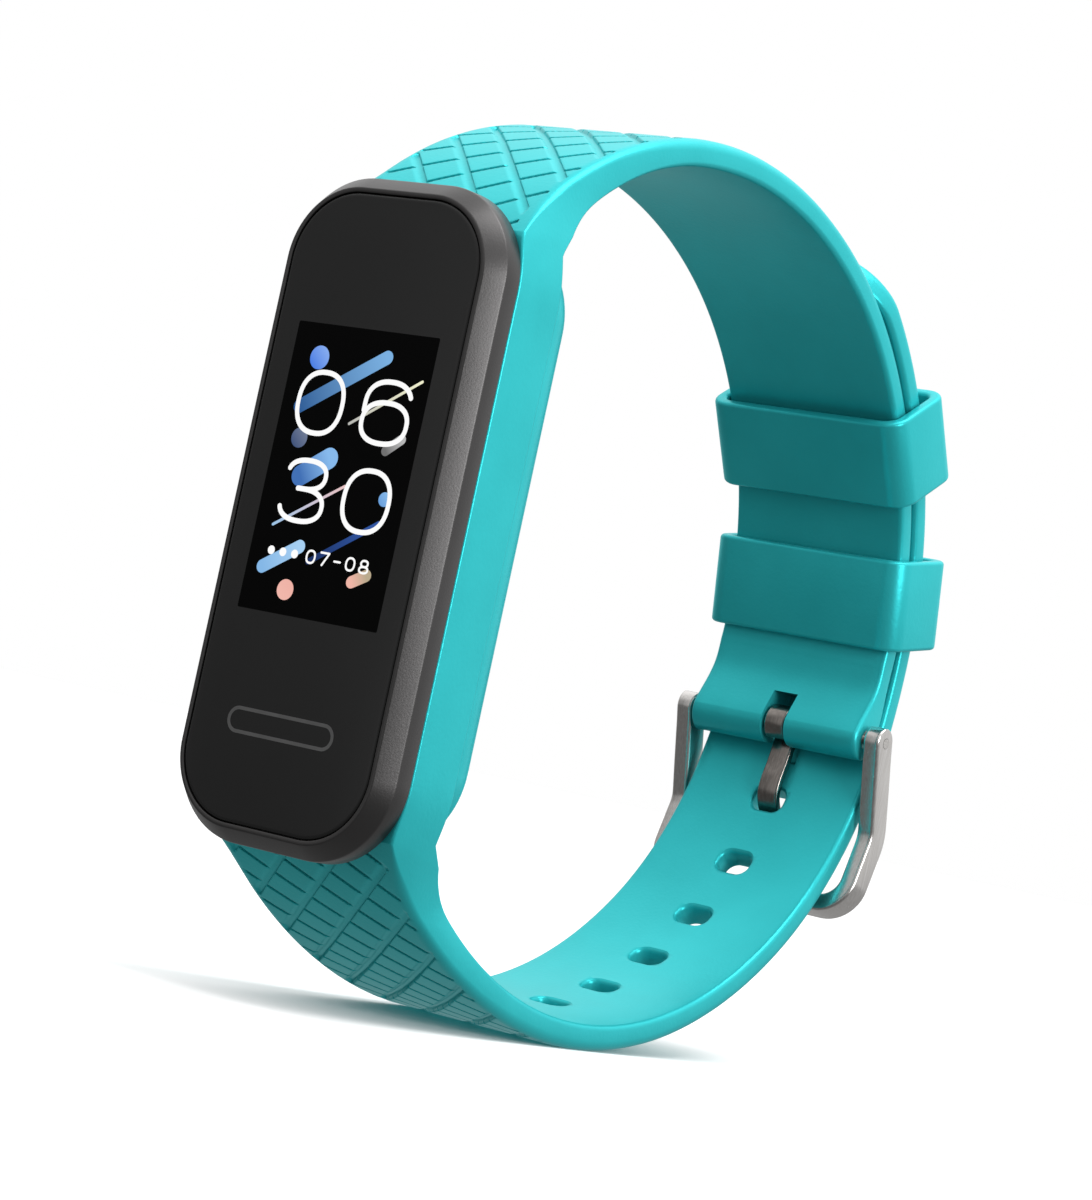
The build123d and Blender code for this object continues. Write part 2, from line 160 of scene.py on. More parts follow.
# behind the pod the band lies flat
cheek_y, behind_y = glass_y + 2.95, glass_y + 8.0
cheek_z, behind_z = 20.2, 20.6
pod_rows = 90
pod_outer = resampled([root_front, (cheek_y, cheek_z), (cheek_y, -cheek_z), lower_front], pod_rows)[1:-1]
pod_inner = resampled([upper_start, (behind_y, behind_z), (behind_y, -behind_z), lower_root_chain[-1]],
                      pod_rows)[1:-1]

outer = np.vstack([free_outer[::-1], upper_outer_root[1:], pod_outer, lower_outer_root[::-1],
                   tail_outer[::-1][1:]])
inner = np.vstack([free_inner[::-1], upper_inner_root[1:], pod_inner, lower_inner_root[::-1],
                   tail_inner[::-1][1:]])

# how far each section's outer face is from the cradle, measured along the strap
gaps = np.append(0, np.cumsum(np.linalg.norm(np.diff(outer, axis=0), axis=1)))
upper_root_at = gaps[len(free_outer) + len(upper_outer_root) - 2]
lower_root_at = gaps[len(free_outer) + len(upper_outer_root) - 1 + len(pod_outer)]
from_cradle = np.where(gaps <= upper_root_at, upper_root_at - gaps, gaps - lower_root_at)
from_tip = gaps[-1] - gaps


flare_y, flare_long = -18.0, 6.0        # the strap flares to the cradle's width from this Y forwards
flare_z, flare_fade = 16.8, 9.0         # and the flare fades out above and below this height
tip_radius, tip_share = 6.0, 0.98       # the tail's tip in front view, just short of a point


def half_width(points):
    """Half the strap's width: it widens to the cradle beside the pod and is rounded off at the tip."""
    beside_pod = smooth((flare_y - points[:, 0]) / flare_long)
    widened = 1 - smooth((np.abs(points[:, 1]) - flare_z) / flare_fade)
    width = strap_half + (cradle_half - strap_half) * beside_pod * widened
    inwards = np.clip(tip_radius - from_tip, 0, tip_radius)
    return width - tip_radius + np.sqrt(tip_radius ** 2 - tip_share * inwards ** 2)


# the strap's ends and edges are rounded over
tip_round, tip_thinning = 0.7, 0.8
outer_edge, cradle_edge, inner_edge = 0.85, 0.2, 0.4    # edge radii
edge_share = 0.42                                       # the most of the thickness that an edge may take
thinner = np.sqrt(1 - tip_thinning * (np.clip(tip_round - from_tip, 0, tip_round) / tip_round) ** 2)
middle = (outer + inner) / 2
outer = middle + (outer - middle) * thinner[:, None]
inner = middle + (inner - middle) * thinner[:, None]
thick = np.linalg.norm(outer - inner, axis=1)
crisp_y, crisp_long = -29.5, 3.5        # the outer edges turn crisp from this Y forwards
in_cradle = smooth((crisp_y - outer[:, 0]) / crisp_long)
round_outer = np.minimum(outer_edge - (outer_edge - cradle_edge) * in_cradle, edge_share * thick)
round_inner = np.minimum(inner_edge, edge_share * thick)
half_outer, half_inner = half_width(outer), half_width(inner)

# The lattice: wide shallow grooves one way, narrow ones the other, both stopping short of the edges.
wide_first, wide_pitch, wide_half, wide_slope = 0.9, 4.27, 0.33, 0.93
thin_half, thin_slope, thin_share = 0.15, 0.8, 0.8
upper_thin, lower_thin = (3.2, 4.05), (2.8, 3.15)       # the first narrow groove and their pitch
lattice_deep = 0.3
wide_edge, wide_fade = 7.35, 0.25       # half width over which the grooves run, and how they fade out
thin_edge, thin_fade = 7.6, 0.2
lattice_end, end_fade = 36.0, 0.5
floor_share, wall_share = 0.45, 0.75    # a groove's flat floor and its rounded wall, as shares of its half


def groove(away, half):
    """Depth share of a round-shouldered groove at a distance from its middle line."""
    return 1 - smooth((np.abs(away) / half - floor_share) / wall_share)


def lattice(x, s, thin_first, thin_pitch):
    """Depth share of the lattice at x across the strap and s along it from the cradle."""
    wide_phase = (x + wide_slope * s - wide_first) / wide_pitch
    wide_away = (wide_phase - np.round(wide_phase)) * wide_pitch / sqrt(1 + wide_slope ** 2)
    thin_phase = (s - thin_slope * x - thin_first) / thin_pitch
    thin_away = (thin_phase - np.round(thin_phase)) * thin_pitch / sqrt(1 + thin_slope ** 2)
    inside = smooth((lattice_end - s) / end_fade)
    wide = groove(wide_away, wide_half) * smooth((wide_edge - np.abs(x)) / wide_fade)
    thin = groove(thin_away, thin_half) * smooth((thin_edge - np.abs(x)) / thin_fade)
    return np.maximum(wide, thin_share * thin) * inside


face_cells, inner_cells, corner_cells = 144, 24, 6
columns = [(share * (half_outer - round_outer), thick) for share in np.linspace(-1, 1, face_cells + 1)]
right = []
for step in range(1, corner_cells + 1):
    turn = pi / 2 * (1 - step / corner_cells)
    right.append((half_outer - round_outer * (1 - cos(turn)), thick - round_outer * (1 - sin(turn))))
for step in range(corner_cells + 1):
    turn = pi / 2 * step / corner_cells
    right.append((half_inner - round_inner * (1 - cos(turn)), round_inner * (1 - sin(turn))))
back = [(share * (half_inner - round_inner), 0 * thick)
        for share in np.linspace(1, -1, inner_cells + 1)[1:-1]]
columns = columns + right + back + [(-x, height) for x, height in reversed(right)]
band_x = np.column_stack([x for x, _ in columns])
band_height = np.column_stack([height for _, height in columns])

face = slice(0, face_cells + 1)
run = from_cradle[:, None]
upper_side = (gaps <= upper_root_at)[:, None]
sunk = np.where(upper_side, lattice(band_x[:, face], run, *upper_thin),
                lattice(band_x[:, face], run, *lower_thin))
band_height[:, face] -= lattice_deep * sunk * (run > 0)
share_out = (band_height / thick[:, None])[:, :, None]
side_points = inner[:, None, :] + share_out * (outer - inner)[:, None, :]
band_rings = np.dstack([band_x[:, :, None], side_points])


soft_crease = 32        # degrees: an edge sharper than this is shaded as an edge


def loft(name, rings, closed=False, crease=soft_crease):
    """A mesh through rings of points in millimetres; closed joins the last ring to the first."""
    rings = np.asarray(rings, float) * MM
    index = np.arange(rings.shape[0] * rings.shape[1]).reshape(rings.shape[:2])
    near = index if closed else index[:-1]
    far = np.roll(index, -1, axis=0) if closed else index[1:]
    faces = np.stack([near, np.roll(near, -1, axis=1), np.roll(far, -1, axis=1), far], axis=-1)
    faces = faces.reshape(-1, 4).tolist()
    if not closed:
        faces += [index[0][::-1].tolist(), index[-1].tolist()]
    mesh = bpy.data.meshes.new(name)
    mesh.from_pydata(rings.reshape(-1, 3).tolist(), [], faces)
    shaded(mesh, crease)
    piece = bpy.data.objects.new(name, mesh)
    bpy.context.scene.collection.objects.link(piece)
    return piece


def shaded(mesh, crease):
    """Face every polygon outwards and shade smooth, except over edges sharper than the crease."""
    work = bmesh.new()
    work.from_mesh(mesh)
    bmesh.ops.recalc_face_normals(work, faces=work.faces)
    work.to_mesh(mesh)
    work.free()
    mesh.shade_smooth()
    mesh.set_sharp_from_angle(angle=radians(crease))


def combine(piece, tool, operation):
    """Join a tool shape to a piece or cut it away, and drop the tool."""
    modifier = piece.modifiers.new(operation, "BOOLEAN")
    modifier.operation = operation
    modifier.solver = "MANIFOLD"
    modifier.object = tool
    made = bpy.data.meshes.new_from_object(piece.evaluated_get(bpy.context.evaluated_depsgraph_get()))
    piece.modifiers.clear()
    piece.data = made
    shaded(made, soft_crease)
    bpy.data.objects.remove(tool)


full_round = 0.999      # the largest corner as a share of the half side, so that no two points meet


def outline(half_x, half_y, corner, steps=12):
    """A rounded rectangle, anticlockwise, as an array of points."""
    corner = min(corner, full_round * half_x, full_round * half_y)
    turns = [(quarter + step / steps) * pi / 2 for quarter in range(4) for step in range(steps + 1)]
    signs = [(1, 1), (-1, 1), (-1, -1), (1, -1)]
    spots = []
    for number, turn in enumerate(turns):
        across, up = signs[number // (steps + 1)]
        spots.append((across * (half_x - corner) + corner * cos(turn),
                      up * (half_y - corner) + corner * sin(turn)))
    return np.array(spots)


def facing_ring(depth, half_x, half_z, corner, steps=12):
    """A rounded rectangle facing out of the display, at a depth behind the glass."""
    spots = outline(half_x, half_z, corner, steps)
    return np.column_stack([spots[:, 0], np.full(len(spots), glass_y + depth), spots[:, 1]])


band = loft("band", band_rings)

# the rear bulge: straight sides at first, then domed inwards
bulge_half_x, bulge_half_z, bulge_corner = 9.4, 22.0, 6.2
dome_depth, dome_high, dome_power = 7.4, 3.2, 0.85
dome_steps, bulge_steps = 14, 20
bulge_rings = [facing_ring(6.6, bulge_half_x - 0.2, bulge_half_z - 0.1, bulge_corner, steps=bulge_steps)]
for step in range(dome_steps + 1):
    turn = pi / 2 * step / dome_steps
    inwards = 1 - cos(turn) ** dome_power
    bulge_rings.append(facing_ring(
        dome_depth + dome_high * sin(turn), bulge_half_x - 2.1 * inwards, bulge_half_z - 2.4 * inwards,
        bulge_corner - 1.2 * inwards, steps=bulge_steps))
combine(band, loft("bulge", bulge_rings), "UNION")

# the stepped pocket for the tub and the opening for its sensor block, each a little larger than the piece:
# nearest and farthest depth, half width, half height, corner
pockets = [(-1.0, 7.02, 8.42, 22.02, 5.12), (6.0, 9.82, 7.42, 19.62, 4.12), (9.0, 12.0, 5.55, 13.65, 3.15)]
for near, far, half_x, half_z, corner in pockets:
    pocket = [facing_ring(near, half_x, half_z, corner), facing_ring(far, half_x, half_z, corner)]
    combine(band, loft("pocket", pocket), "DIFFERENCE")


def side_ring(x, centre, radius, steps=40):
    """A circle round the wrist's axis direction."""
    turns = np.linspace(0, 2 * pi, steps, endpoint=False)
    return np.column_stack([np.full(steps, x), centre[0] + radius * np.cos(turns),
                            centre[1] + radius * np.sin(turns)])


# the bore for the spring bar and the slot that the tongue turns in
bore_radius, bore_reach = 0.79, 9.0
bore = [side_ring(x, bar_centre, bore_radius) for x in (-bore_reach, bore_reach)]
combine(band, loft("bore", bore), "DIFFERENCE")
slot_half, slot_centre = 1.14, (26.1, -6.5)
slot_spots = outline(2.6, 2.8, 0.25) + slot_centre
slot_rings = [[(x, y, z) for y, z in slot_spots] for x in (-slot_half, slot_half)]
combine(band, loft("slot", slot_rings), "DIFFERENCE")

# tail holes, with softened rims on both faces: each pair below is a height and how much wider it is there
hole_pitch, holes_to_pod, holes_to_tip = 6.4, 5, 4
hole_half_x, hole_half_y, hole_corner = 1.43, 1.05, 0.85
tongue_hole_at = lap_radius * radians(lap_turn) + 13.05         # along the tail from its tip
look_ahead = 0.5
tail_line = np.vstack([tail_inner, lower_root_chain])
tail_run = np.append(0, np.cumsum(np.linalg.norm(np.diff(tail_line, axis=0), axis=1)))
hole_profile = [(-0.4, 0.6), (-0.02, 0.24), (0.05, 0.12), (0.16, 0.04), (0.34, 0.0), (1.7, 0.0),
                (1.86, 0.04), (1.96, 0.12), (2.03, 0.24), (2.4, 0.6)]
for number in range(-holes_to_tip, holes_to_pod + 1):
    place = tongue_hole_at + number * hole_pitch
    here = np.array([np.interp(place, tail_run, tail_line[:, axis]) for axis in (0, 1)])
    beyond = np.array([np.interp(place + look_ahead, tail_run, tail_line[:, axis]) for axis in (0, 1)])
    ahead = beyond - here
    ahead = ahead / np.linalg.norm(ahead)
    out = np.array([-ahead[1], ahead[0]])
    rings = []
    for height, wider in hole_profile:
        spots = outline(hole_half_x + wider, hole_half_y + wider, hole_corner + wider)
        rings.append([(x, *(here + height * out + y * ahead)) for x, y in spots])
    combine(band, loft("hole", rings), "DIFFERENCE")


# Liquid silicone, injection moulded in a lightly blasted tool and left unpainted: an even satin skin
# with a soft tinted gloss, a fine grain under close light and faint mottling from the flow of the melt.
def linear(code):
    """An sRGB hex colour as linear RGBA."""
    channels = [int(code[place:place + 2], 16) / 255 for place in (1, 3, 5)]
    return (*[c / 12.92 if c <= 0.04045 else ((c + 0.055) / 1.055) ** 2.4 for c in channels], 1.0)


def add(tree, kind, sockets=None, links=None, **settings):
    """Add a node, set its properties and input sockets, and link its inputs."""
    made = tree.nodes.new(kind)
    for name, value in settings.items():
        setattr(made, name, value)
    for name, value in (sockets or {}).items():
        made.inputs[name].default_value = value
    for name, source in (links or {}).items():
        tree.links.new(source, made.inputs[name])
    return made


def new_material(name, **sockets):
    """A material with one Principled shader whose own sockets hold its constant values."""
    made = bpy.data.materials.new(name)
    made.use_nodes = True
    tree = made.node_tree
    shader = tree.nodes["Principled BSDF"]
    for socket, value in sockets.items():
        shader.inputs[socket.replace("_", " ")].default_value = value
    return made, tree, shader


def patterned(tree, shader, pattern, light, dark, blend, rough, relief, lift_mm):
    """Let one pattern vary the colour and roughness, and another raise the surface by up to lift_mm.

    light and dark are hex colours, which blend over a span of the pattern; rough is (smoothest, roughest)."""
    colour = add(tree, "ShaderNodeValToRGB", links={"Fac": pattern})
    for stop, place, code in zip(colour.color_ramp.elements, blend, (dark, light)):
        stop.position = place
        stop.color = linear(code)
    tree.links.new(colour.outputs["Color"], shader.inputs["Base Color"])
    gloss = add(tree, "ShaderNodeMapRange", {"To Min": rough[0], "To Max": rough[1]}, {"Value": pattern})
    tree.links.new(gloss.outputs["Result"], shader.inputs["Roughness"])
    bump = add(tree, "ShaderNodeBump", {"Distance": lift_mm * MM}, {"Height": relief})
    tree.links.new(bump.outputs["Normal"], shader.inputs["Normal"])


def grained(name, light, dark, patch_mm, grain_mm, rough, grain_lift, **sockets):
    """A moulded or blasted surface: mottled at one scale in mm, with a raised grain at another."""
    made, tree, shader = new_material(name, **sockets)
    place = add(tree, "ShaderNodeTexCoord").outputs["Object"]
    patches = add(tree, "ShaderNodeTexNoise", {"Scale": 1 / (patch_mm * MM), "Detail": 4.0},
                  {"Vector": place})
    grain = add(tree, "ShaderNodeTexNoise", {"Scale": 1 / (grain_mm * MM), "Detail": 2.0}, {"Vector": place})
    patterned(tree, shader, patches.outputs["Fac"], light, dark, (0.3, 0.7), rough,
              grain.outputs["Fac"], grain_lift)
    return made


silicone = grained("silicone_teal_satin_moulded", "#30B6BB", "#2BAEB3", 6.0, 0.3, (0.30, 0.36), 0.012,
                   Metallic=0.4, Specular_Tint=linear("#7FFFFF"), IOR=1.43)


def dress(piece, material, body, slot, *nodes):
    """Give a piece its material, let it ride on a body and hide the CAD nodes it stands for."""
    piece.data.materials.clear()
    piece.data.materials.append(material)
    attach(piece, body)
    if nodes:
        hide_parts(*nodes)


dress(band, silicone, "band", "silicone", "strap")

# ---------------------------------------------------------------- keepers
# Two loose loops of the same silicone hold the tail down on the buckle side. Each is a flat-sided
# ring with rounded corners, cut from a moulded sleeve and tumbled, and it only grips by friction.
lap_centre = np.array([-3.718, 0.797])      # Y, Z of the arc that the lapped strap follows
keeper_half = (9.15, 4.0)                   # across the strap and through it
keeper_wall, keeper_half_long = 1.0, 3.65
keeper_edge, keeper_corner = 0.32, 1.8
keeper_foot, keeper_middle = 29.28, 3.0     # the arc's radius, and a keeper's middle above it
for name, angle, lean in (("keeper_upper", 30.5, 2.0), ("keeper_lower", 7.6, 3.0)):
    foot = lap_centre + keeper_foot * unit(angle)
    way = unit(angle - 90 + lean)
    out = np.array([-way[1], way[0]])
    rings = []
    section = outline(keeper_wall / 2, keeper_half_long, keeper_edge, 5) + (keeper_wall / 2, 0)
    for inset, run_along in section:
        spots = outline(keeper_half[0] - inset, keeper_half[1] - inset, keeper_corner - inset * 0.9, 8)
        rings.append([(x, *(foot + (keeper_middle + height) * out + run_along * way)) for x, height in spots])
    keeper = loft("loop_" + name, rings, closed=True)
    dress(keeper, silicone, name, "silicone", name)

# ---------------------------------------------------------------- spring bar
# A drawn stainless tube through the strap's eye, with a coil spring and two flanged tips that snap
# into the buckle's arms. Drawing leaves fine lines along the tube.
line_lift, line_stretch = 0.004, 0.04      # the lines' height in mm, and their width over their length


def drawn_metal(name, light, dark, line_mm, along, rough):
    """A metal with fine lines left along one axis by drawing or brushing: their pitch is line_mm."""
    made, tree, shader = new_material(name, Metallic=1.0)
    place = add(tree, "ShaderNodeTexCoord").outputs["Object"]
    stretch = [line_stretch if axis == along else 1.0 for axis in "XYZ"]
    mapped = add(tree, "ShaderNodeMapping", {"Scale": stretch}, {"Vector": place})
    lines = add(tree, "ShaderNodeTexNoise", {"Scale": 1 / (line_mm * MM), "Detail": 3.0},
                {"Vector": mapped.outputs["Vector"]}).outputs["Fac"]
    patterned(tree, shader, lines, light, dark, (0.25, 0.75), rough, lines, line_lift)
    return made


drawn_steel = drawn_metal("steel_stainless_drawn", "#C9C7C4", "#A9A6A3", 0.12, "X", (0.22, 0.34))


def finish_nodes(material, *names):
    """Give CAD nodes that show as they are a material."""
    for name in names:
        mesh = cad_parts[name].data
        mesh.materials.clear()
        mesh.materials.append(material)


finish_nodes(drawn_steel, "spring_bar_tube", "spring_bar_spring", "spring_bar_tip_left",
             "spring_bar_tip_right")

# ---------------------------------------------------------------- buckle frame
# A bent U of stainless bar: two flat arms that turn inwards to a crossbar behind the strap. It is
# pressed and tumbled, then brushed along the arms, so its edges are soft and its faces streaked.
arm_x = 9.1
frame_half_band, frame_half_thick, frame_edge = 1.14, 0.74, 0.3
head_radius = frame_half_band + 0.06
frame_bend = np.array([28.0, -13.9])        # Y, Z
frame_foot = np.array([26.08, -20.0])
bend_radius, foot_radius = 3.0, 2.3
twist_from, twist_long = 6.6, 2.2           # the arm's face turns with its bend, this far below the bar
tip_hole_radius = 0.43


curve_steps = 24        # places worked out between two points of a curve before it is resampled


def smooth_path(points, spacing):
    """A Catmull-Rom curve through points, with evenly spaced places along it."""
    points = np.asarray(points, float)
    ends = np.vstack([2 * points[0] - points[1], points, 2 * points[-1] - points[-2]])
    run = []
    for number in range(1, len(ends) - 2):
        before, start, end, after = ends[number - 1:number + 3]
        for share in np.linspace(0, 1, curve_steps, endpoint=False):
            run.append(0.5 * (2 * start + (end - before) * share
                              + (2 * before - 5 * start + 4 * end - after) * share ** 2
                              + (3 * start - before - 3 * end + after) * share ** 3))
    run.append(points[-1])
    length = np.linalg.norm(np.diff(run, axis=0), axis=1).sum()
    return resampled(run, ceil(length / spacing) + 1)


def rounded_corner(before, corner, after, radius, steps):
    """Points of the arc that rounds a corner between two straight runs."""
    back = (before - corner) / np.linalg.norm(before - corner)
    on = (after - corner) / np.linalg.norm(after - corner)
    half_angle = np.arccos(back @ on) / 2
    reach = radius / np.tan(half_angle)
    middle = corner + (back + on) / np.linalg.norm(back + on) * radius / np.sin(half_angle)
    start, end = corner + back * reach - middle, corner + on * reach - middle
    span = pi - 2 * half_angle
    return [middle + (start * sin((1 - share) * span) + end * sin(share * span)) / sin(span)
            for share in np.linspace(0, 1, steps)]


def swept(name, path, flats, half_bands, half_thick, corner):
    """A bar swept along a path. flats are the unit vectors along its broad faces."""
    rings = []
    steps = np.gradient(path, axis=0)
    for place, step, flat, half_band in zip(path, steps, flats, half_bands):
        forward = step / np.linalg.norm(step)
        thickness = np.cross(forward, flat)
        spots = outline(half_band, half_thick, corner, 5)
        rings.append([place + u * flat + v * thickness for u, v in spots])
    return loft(name, rings)


arm_end = np.array([arm_x, *bar_centre])
arm_bend = np.array([arm_x, *frame_bend])
arm_foot = np.array([arm_x, *frame_foot])
far_foot = arm_foot * (-1, 1, 1)
first_way = (arm_bend - arm_end) / np.linalg.norm(arm_bend - arm_end)
head_turns = np.linspace(0.12, pi / 2, 12)
half_path = [arm_end - head_radius * cos(turn) * first_way for turn in head_turns]
half_path += [arm_end + below * first_way for below in (1.2, 2.8, 4.6)]
half_path += rounded_corner(arm_end, arm_bend, arm_foot, bend_radius, 8)
half_path += rounded_corner(arm_bend, arm_foot, far_foot, foot_radius, 12)
half_path += [np.array([x, *frame_foot]) for x in (5.0, 3.0, 1.0)]
half_path = np.array(half_path)
path = np.vstack([half_path, half_path[::-1] * (-1, 1, 1)])
half_bands = np.full(len(half_path), frame_half_band)
half_bands[:len(head_turns)] = head_radius * np.sin(head_turns)
half_bands[len(head_turns):len(head_turns) + 3] = frame_half_band + 0.03
half_bands = np.append(half_bands, half_bands[::-1])
upper_way, lower_way = frame_bend - bar_centre, frame_foot - frame_bend
upper_way, lower_way = upper_way / np.linalg.norm(upper_way), lower_way / np.linalg.norm(lower_way)
flats = []
for place in path:
    share = smooth((bar_centre[1] - place[2] - twist_from) / twist_long)
    way = (1 - share) * upper_way + share * lower_way
    way = way / np.linalg.norm(way)
    flats.append(np.array([0, -way[1], way[0]]))
buckle = swept("buckle_bow", path, flats, half_bands, frame_half_thick, frame_edge)
for side in (-1, 1):
    hole = [side_ring(side * x, bar_centre, tip_hole_radius) for x in (7.5, 11.0)]
    combine(buckle, loft("tip_hole", hole), "DIFFERENCE")
brushed_steel = drawn_metal("steel_stainless_brushed", "#C9C7C5", "#B4B1AE", 0.1, "Z", (0.20, 0.30))
dress(buckle, brushed_steel, "buckle_frame", "steel", "buckle_frame")

# ---------------------------------------------------------------- buckle tongue
# A flat steel strip, rolled round the spring bar at one end and bent in an S that passes through a
# tail hole and rests on the crossbar. It is plated dark, and the tip is rounded by tumbling.
tongue_half_width, tongue_half_thick, tongue_edge = 0.95, 0.35, 0.18
wrap_radius, wrap_first, wrap_last = 1.17, 238, -15     # degrees, from the rolled end over the bar
wrap = [bar_centre + wrap_radius * unit(turn) for turn in np.linspace(wrap_first, wrap_last, 34)]
strip = smooth_path([wrap[-1], (26.72, -8.1), (26.42, -9.5), (26.02, -10.9), (25.95, -12.1), (26.55, -13.2),
                     (27.6, -14.15), (28.5, -15.5), (28.6, -17.8), (27.45, -21.0)], 0.35)
side_path = np.vstack([wrap[:-1], strip])
path = np.column_stack([np.zeros(len(side_path)), side_path])
tip_long = 0.9
left = np.linalg.norm(path - path[-1], axis=1)
tapered = np.sqrt(np.clip(1 - ((tip_long - left) / tongue_half_width) ** 2, 0.02, 1))
half_bands = tongue_half_width * np.where(left < tip_long, tapered, 1.0)
across_strap = np.array([1.0, 0, 0])
tongue = swept("buckle_pin", path, [across_strap] * len(path), half_bands, tongue_half_thick, tongue_edge)
plated_steel = drawn_metal("steel_dark_nickel_plated", "#8A8480", "#6E6965", 0.14, "Z", (0.16, 0.26))
dress(tongue, plated_steel, "buckle_tongue", "dark_steel", "buckle_tongue")

# ---------------------------------------------------------------- tub, window and contacts
# The back cover is a glass-filled polycarbonate tub with a spark-eroded matt face. A tinted lens for
# the pulse sensor is glued in its block, and two gold-plated charging studs pass through it.
case_plastic = grained("polycarbonate_black_spark_eroded", "#2A2A2C", "#232325", 3.0, 0.22, (0.45, 0.6),
                       0.02, IOR=1.58)
finish_nodes(case_plastic, "back_cover")
lens = grained("polycarbonate_tinted_polished", "#1C0E14", "#12090D", 4.0, 0.4, (0.05, 0.09), 0.001, IOR=1.58,
               Coat_Weight=0.6, Coat_Roughness=0.04)
finish_nodes(lens, "sensor_window")
gold = grained("gold_plated_brass_polished", "#D9B15A", "#C79C47", 1.2, 0.15, (0.16, 0.26), 0.002,
               Metallic=1.0)
finish_nodes(gold, "charge_contact_left", "charge_contact_right")
foam = grained("foam_closed_cell_black", "#2B2B2B", "#161616", 0.5, 0.12, (0.8, 0.95), 0.05)
finish_nodes(foam, "case_gasket", "battery_pad", "light_barrier")

# ---------------------------------------------------------------- electronics
# A solder-masked board carries the epoxy-moulded chips, the lithium pouch cell lies in its foil behind
# it, and the pulse sensor's emitters look out of the lens from a small board of their own.
board = grained("board_green_solder_mask", "#1B5A38", "#0F4328", 1.6, 0.25, (0.3, 0.42), 0.01, IOR=1.5)
finish_nodes(board, "main_board", "sensor_board")
chip = grained("epoxy_moulded_black", "#232323", "#191919", 0.8, 0.1, (0.5, 0.65), 0.008)
finish_nodes(chip, "processor_chip", "memory_chip", "motion_sensor", "charge_controller", "photodiode")
pouch = grained("foil_laminated_pouch", "#C4C7CA", "#A8ACB0", 2.5, 0.4, (0.28, 0.42), 0.03, Metallic=0.9)
finish_nodes(pouch, "battery")
wire = grained("pvc_red_wire", "#A01818", "#861212", 1.0, 0.2, (0.35, 0.45), 0.004)
finish_nodes(wire, "battery_leads")
emitter = grained("epoxy_clear_green_emitter", "#54C878", "#35A65A", 0.6, 0.1, (0.1, 0.2), 0.002)
finish_nodes(emitter, "sensor_leds")

# ---------------------------------------------------------------- vibration motor
# A flat coin motor: a pressed steel can with a half-round tungsten weight turning on a steel shaft.
can_steel = grained("steel_pressed_can", "#BDBBB8", "#A3A09D", 1.5, 0.2, (0.25, 0.38), 0.004, Metallic=1.0)
finish_nodes(can_steel, "motor_case", "motor_shaft")
tungsten = grained("tungsten_sintered", "#77787A", "#5E5F61", 0.4, 0.08, (0.4, 0.55), 0.01, Metallic=1.0)
finish_nodes(tungsten, "motor_rotor")

# ---------------------------------------------------------------- display stack
# The display cell and its light guide are bonded behind the glass with clear film, and a folded amber
# flexible circuit joins it to the board. The touch key is a film electrode on the same bond line.
abs_plastic = grained("abs_dark_grey_moulded", "#3A3A3C", "#303032", 2.0, 0.25, (0.45, 0.6), 0.015)
finish_nodes(abs_plastic, "chassis")
film = grained("acrylic_bonding_film", "#C9C9C2", "#BDBDB5", 2.0, 0.5, (0.2, 0.3), 0.002)
finish_nodes(film, "display_adhesive", "glass_adhesive", "touch_key_film")
cell_glass = grained("glass_display_cell", "#0B0B10", "#07070A", 5.0, 0.6, (0.06, 0.1), 0.001, IOR=1.52)
finish_nodes(cell_glass, "display_panel")
guide = grained("acrylic_white_light_guide", "#E2E2DE", "#D6D6D0", 2.0, 0.4, (0.35, 0.45), 0.004)
finish_nodes(guide, "display_backlight")
amber = grained("polyimide_amber_film", "#B06A1E", "#995713", 1.2, 0.3, (0.25, 0.35), 0.004)
finish_nodes(amber, "display_flex")

# ---------------------------------------------------------------- bezel
# A machined aluminium frame, bead blasted and anodised dark grey: a narrow flat lip round the glass, a
# crisp chamfer and a straight side. Blasting leaves a fine even sparkle, and cutting thin bright edges.
pod_half_x, pod_half_z, pod_corner = 9.525, 23.325, 6.3
# each pair is how far in from the outline and how far behind the glass
bezel_section = [
    (1.30, 0.10), (1.28, 0.03), (1.23, 0.0), (1.03, 0.0), (0.98, 0.02), (0.93, 0.07), (0.07, 1.27),
    (0.02, 1.34), (0.0, 1.43), (0.0, 2.82), (0.03, 2.88), (0.09, 2.9), (2.07, 2.9), (2.07, 4.0),
    (2.57, 4.0), (2.57, 1.0), (1.30, 1.0)]
bezel_rings = [facing_ring(depth, pod_half_x - inset, pod_half_z - inset, pod_corner - inset, steps=24)
               for inset, depth in bezel_section]
bezel = loft("bezel_frame", bezel_rings, closed=True, crease=40)
anodised = grained("aluminium_anodised_dark_grey_blasted", "#4B4A4A", "#454444", 8.0, 0.14, (0.34, 0.42),
                   0.006, Metallic=0.9)
dress(bezel, anodised, "pod", "bezel_metal", "bezel")

# ---------------------------------------------------------------- cover glass
# Toughened glass with a polished rounded rim and black ink printed on its back. Behind the ink's
# window the display is black until it is lit, and a grey outline marks where the touch key is.
glass_half_x, glass_half_z, glass_corner = 8.17, 21.97, 4.97
glass_section = [(0.30, 0.0), (0.16, 0.012), (0.07, 0.05), (0.018, 0.12), (0.0, 0.22), (0.0, 0.9)]
glass_rings = [facing_ring(depth, glass_half_x - inset, glass_half_z - inset, glass_corner - inset, steps=20)
               for inset, depth in glass_section]
glass = loft("cover_glass_polished", glass_rings, crease=50)
inked_glass = grained("glass_toughened_black_ink_backed", "#1E1E1E", "#1C1C1C", 12.0, 3.0, (0.22, 0.26),
                      0.0004, IOR=1.52, Specular_IOR_Level=0.25)
dress(glass, inked_glass, "pod", "glass", "cover_glass")

screen_half_x, screen_half_z, screen_corner, screen_z = 6.2, 10.07, 0.12, 2.62
seat = 0.05             # how far a printed or lit layer reaches into the glass
mark_seat = 0.03


